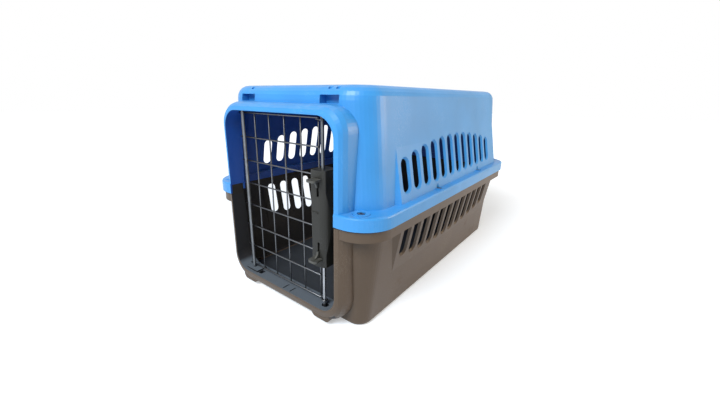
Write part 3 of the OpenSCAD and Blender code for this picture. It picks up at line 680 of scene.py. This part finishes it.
class CARRIER_OT_rods(bpy.types.Operator):
    """Finishes the hinge rod, the bolts and the handle pins"""

    bl_idname = "carrier.rods"
    bl_label = "Finish the rods"

    def execute(self, context):
        colours = context.scene.carrier_colours
        groups = finish_groups()
        rod = plated_metal("rod_steel", tuple(colours.rod), 0.28, groups, lines=500.0)
        # The upper bolt takes a darker copy of the rod steel.
        dark = plated_metal("darker_rod_steel", (0.16, 0.17, 0.18), 0.4, groups, lines=500.0)
        dull = plated_metal("dull_rod_steel", (0.2, 0.21, 0.22), 0.34, groups, lines=500.0)
        dress(rod, "lower_bolt", "handle_pin_front", "handle_pin_rear")
        dress(dull, "hinge_rod")
        dress(dark, "upper_bolt")
        return {"FINISHED"}


class CARRIER_OT_fasteners(bpy.types.Operator):
    """Finishes the eight bolts and nuts of the flange"""

    bl_idname = "carrier.fasteners"
    bl_label = "Finish the fasteners"

    def execute(self, context):
        groups = finish_groups()
        steel = plated_metal("fastener_steel", (0.2, 0.21, 0.24), 0.4, groups)
        dress(steel, *FLANGE_BOLTS, *FLANGE_NUTS)
        return {"FINISHED"}


class CARRIER_OT_handle(bpy.types.Operator):
    """Finishes the bail handle"""

    bl_idname = "carrier.handle"
    bl_label = "Finish the handle"

    def execute(self, context):
        colours = context.scene.carrier_colours
        groups = finish_groups()
        grip = moulded_plastic("handle_plastic", tuple(colours.handle), (0.3, 0.42, 0.7), 0.4, groups)
        dress(grip, "carry_handle")
        return {"FINISHED"}


class CARRIER_OT_stage(bpy.types.Operator):
    """Sets up the floor, the lamps, the world and the camera"""

    bl_idname = "carrier.stage"
    bl_label = "Build the stage"

    def execute(self, context):
        setup = context.scene.carrier_stage
        floor_piece()
        backdrop_world(setup.world_level)
        area_lamp("front_softbox", (0.15, -1.4, 1.3), (0.0, -0.1, 0.15), (0.8, 0.8), 37.0, (0.96, 0.985, 1.0))
        area_lamp("top_softbox", (-0.2, 0.1, 1.8), (0.0, 0.0, 0.2), (1.2, 1.2), 1.5, (1.0, 1.0, 1.0))
        area_lamp("side_softbox", (1.35, 0.85, 0.5), (0.0, 0.0, 0.1), (0.9, 0.7), 15.5, (1.0, 0.79, 0.55))
        place_camera(setup)
        context.scene.view_settings.view_transform = "Standard"
        return {"FINISHED"}


def floor_piece():
    """A large pale floor."""
    bm = bmesh.new()
    size = 6.0
    corners = [bm.verts.new((x * size, y * size, -0.0006)) for x, y in ((-1, -1), (1, -1), (1, 1), (-1, 1))]
    bm.faces.new(corners)
    mesh = bpy.data.meshes.new("floor")
    bm.to_mesh(mesh)
    bm.free()
    floor = bpy.data.objects.new("floor", mesh)
    bpy.context.scene.collection.objects.link(floor)
    f = Finish("floor_white")
    f.set(Base_Color=(0.76, 0.83, 0.92, 1.0), Roughness=0.9, Specular_IOR_Level=0.1)
    lift_to_white(f.tree, f.shader.outputs[0],
                  next(n for n in f.tree.nodes if n.type == "OUTPUT_MATERIAL").inputs["Surface"])
    mesh.materials.append(f.material)


def lift_to_white(tree, surface, output):
    """Adds glow, for the camera and in reflections, that makes the pale floor white away from the object."""
    path = tree.nodes.new("ShaderNodeLightPath")
    seen = tree.nodes.new("ShaderNodeMath")
    seen.operation = "MAXIMUM"
    tree.links.new(path.outputs["Is Camera Ray"], seen.inputs[0])
    tree.links.new(path.outputs["Is Glossy Ray"], seen.inputs[1])
    through = tree.nodes.new("ShaderNodeMath")
    through.operation = "MAXIMUM"
    tree.links.new(seen.outputs[0], through.inputs[0])
    tree.links.new(path.outputs["Is Transmission Ray"], through.inputs[1])
    coords = tree.nodes.new("ShaderNodeTexCoord")
    away = tree.nodes.new("ShaderNodeVectorMath")
    away.operation = "LENGTH"
    tree.links.new(coords.outputs["Object"], away.inputs[0])
    ramp = tree.nodes.new("ShaderNodeMapRange")
    ramp.interpolation_type = "SMOOTHSTEP"
    for label, amount in (("From Min", 0.3), ("From Max", 1.3), ("To Min", 0.42), ("To Max", 0.95)):
        ramp.inputs[label].default_value = amount
    tree.links.new(away.outputs["Value"], ramp.inputs["Value"])
    amount = tree.nodes.new("ShaderNodeMath")
    amount.operation = "MULTIPLY"
    tree.links.new(ramp.outputs[0], amount.inputs[1])
    tree.links.new(through.outputs[0], amount.inputs[0])
    glow = tree.nodes.new("ShaderNodeEmission")
    tree.links.new(amount.outputs[0], glow.inputs["Strength"])
    both = tree.nodes.new("ShaderNodeAddShader")
    tree.links.new(surface, both.inputs[0])
    tree.links.new(glow.outputs[0], both.inputs[1])
    tree.links.new(both.outputs[0], output)


def backdrop_world(level):
    """Even light, with white behind the object and in its reflections."""
    world = bpy.data.worlds.new("studio")
    bpy.context.scene.world = world
    world.use_nodes = True
    tree = world.node_tree
    light = next(n for n in tree.nodes if n.type == "BACKGROUND")
    light.inputs["Color"].default_value = (0.96, 0.98, 1.0, 1.0)
    light.inputs["Strength"].default_value = level
    white = tree.nodes.new("ShaderNodeBackground")
    white.inputs["Color"].default_value = (1.0, 1.0, 1.0, 1.0)
    white.inputs["Strength"].default_value = 1.0
    path = tree.nodes.new("ShaderNodeLightPath")
    direct = tree.nodes.new("ShaderNodeMath")
    direct.operation = "MAXIMUM"
    tree.links.new(path.outputs["Is Camera Ray"], direct.inputs[0])
    tree.links.new(path.outputs["Is Transmission Ray"], direct.inputs[1])
    seen = tree.nodes.new("ShaderNodeMath")
    seen.operation = "MAXIMUM"
    tree.links.new(direct.outputs[0], seen.inputs[0])
    tree.links.new(path.outputs["Is Glossy Ray"], seen.inputs[1])
    mix = tree.nodes.new("ShaderNodeMixShader")
    tree.links.new(seen.outputs[0], mix.inputs["Fac"])
    tree.links.new(light.outputs[0], mix.inputs[1])
    tree.links.new(white.outputs[0], mix.inputs[2])
    tree.links.new(mix.outputs[0], next(n for n in tree.nodes if n.type == "OUTPUT_WORLD").inputs["Surface"])


def area_lamp(name, place, target, size, power, colour):
    """A rectangular soft lamp that looks at target."""
    data = bpy.data.lights.new(name, "AREA")
    data.shape = "RECTANGLE"
    data.size, data.size_y = size
    data.energy = power
    data.color = colour
    lamp = bpy.data.objects.new(name, data)
    lamp.location = place
    lamp.rotation_euler = (Vector(target) - Vector(place)).to_track_quat("-Z", "Y").to_euler()
    bpy.context.scene.collection.objects.link(lamp)
    return lamp


def place_camera(setup):
    """The photograph's camera: place, direction, roll, lens and small shift."""
    data = bpy.data.cameras.new("photo_camera")
    data.sensor_width = 36.0
    data.sensor_fit = "HORIZONTAL"
    data.lens = setup.lens
    data.shift_x = 0.00836
    data.shift_y = -0.00777
    data.clip_start = 0.01
    camera = bpy.data.objects.new("photo_camera", data)
    bpy.context.scene.collection.objects.link(camera)
    cy, sy = math.cos(setup.yaw), math.sin(setup.yaw)
    cp, sp = math.cos(setup.pitch), math.sin(setup.pitch)
    ahead = Vector((-sy * cp, cy * cp, -sp))
    right = Vector((cy, sy, 0.0))
    up = right.cross(ahead)
    cr, sr = math.cos(setup.roll), math.sin(setup.roll)
    x_axis = cr * right + sr * up
    y_axis = -sr * right + cr * up
    turn = Matrix((x_axis, y_axis, -ahead)).transposed().to_4x4()
    camera.matrix_world = Matrix.Translation(setup.camera_place) @ turn
    bpy.context.scene.camera = camera


# Panel


class CARRIER_PT_looks(bpy.types.Panel):
    """Lists the colours, sizes and steps"""

    bl_idname = "CARRIER_PT_looks"
    bl_label = "Bird Travel Carrier"
    bl_space_type = "VIEW_3D"
    bl_region_type = "UI"
    bl_category = "Carrier"

    def draw(self, context):
        for group in (context.scene.carrier_colours, context.scene.carrier_sizes, context.scene.carrier_stage):
            box = self.layout.box()
            for key in group.__annotations__:
                box.prop(group, key)
        for step in STEPS:
            self.layout.operator(step.bl_idname)


STEPS = (
    CARRIER_OT_stage,
    CARRIER_OT_shells,
    CARRIER_OT_door_wires,
    CARRIER_OT_latch,
    CARRIER_OT_springs,
    CARRIER_OT_rods,
    CARRIER_OT_fasteners,
    CARRIER_OT_handle,
)
CLASSES = (CarrierColours, CarrierSizes, CarrierStage, *STEPS, CARRIER_PT_looks)


def register():
    for cls in CLASSES:
        bpy.utils.register_class(cls)
    bpy.types.Scene.carrier_colours = bpy.props.PointerProperty(type=CarrierColours)
    bpy.types.Scene.carrier_sizes = bpy.props.PointerProperty(type=CarrierSizes)
    bpy.types.Scene.carrier_stage = bpy.props.PointerProperty(type=CarrierStage)


def unregister():
    del bpy.types.Scene.carrier_stage
    del bpy.types.Scene.carrier_sizes
    del bpy.types.Scene.carrier_colours
    for cls in reversed(CLASSES):
        bpy.utils.unregister_class(cls)


def main():
    register()
    for step in STEPS:
        area, name = step.bl_idname.split(".")
        getattr(getattr(bpy.ops, area), name)()


if __name__ == "__main__":
    main()
